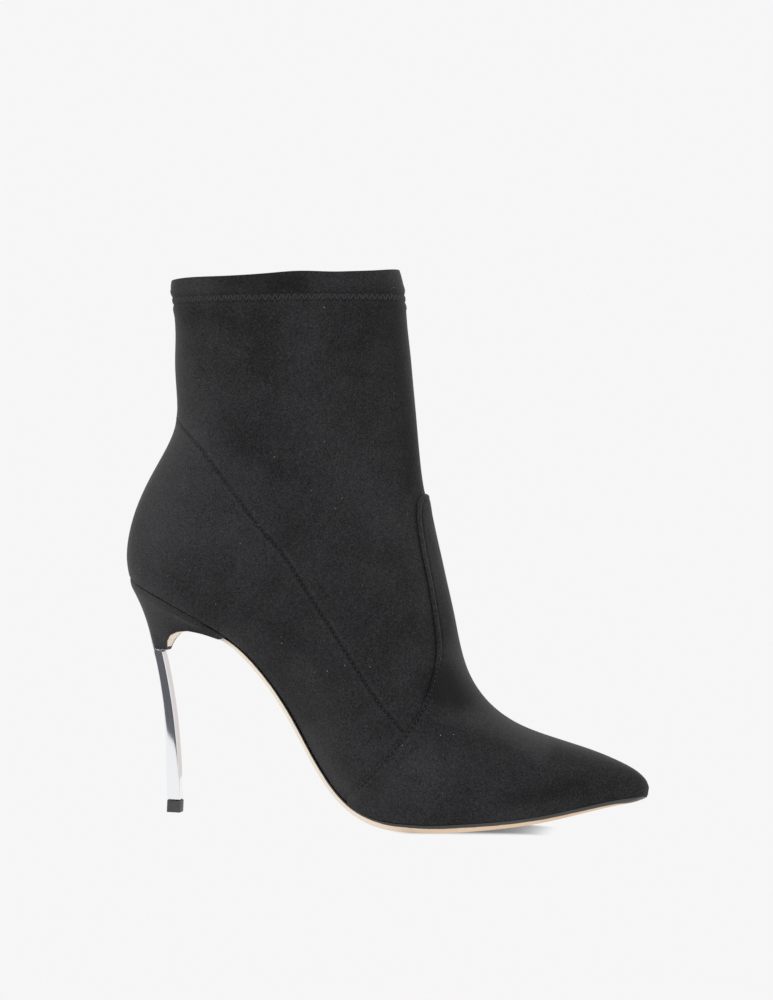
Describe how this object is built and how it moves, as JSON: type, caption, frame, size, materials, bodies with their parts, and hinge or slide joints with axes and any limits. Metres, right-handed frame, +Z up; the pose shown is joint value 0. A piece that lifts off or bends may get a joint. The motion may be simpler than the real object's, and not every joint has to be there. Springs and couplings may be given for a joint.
{
  "type": "stiletto ankle bootie",
  "caption": "Pointed ankle boot of black suede on a slim metal blade heel, with a vamp overlay that climbs the ankle and a leather sole.",
  "frame": {"origin": "centre of the heel tip's ground face", "axes": "+X towards the toe, +Y towards the inner side of this right shoe, +Z up from the floor"},
  "size_m": [0.2292, 0.0782, 0.2352],
  "materials": {
    "suede": "matt black suede with a short nap",
    "sock_leather": "smooth tan sock leather",
    "sole_leather": "smooth natural sole leather with a black edge",
    "polished_metal": "mirror-polished metal",
    "rubber": "matt black rubber"
  },
  "bodies": {
    "root": {"upper": "suede", "vamp": "suede", "insole": "sock_leather", "outsole": "sole_leather", "heel_block": "suede", "heel_blade": "polished_metal", "heel_tip": "rubber"}
  },
  "joints": []
}
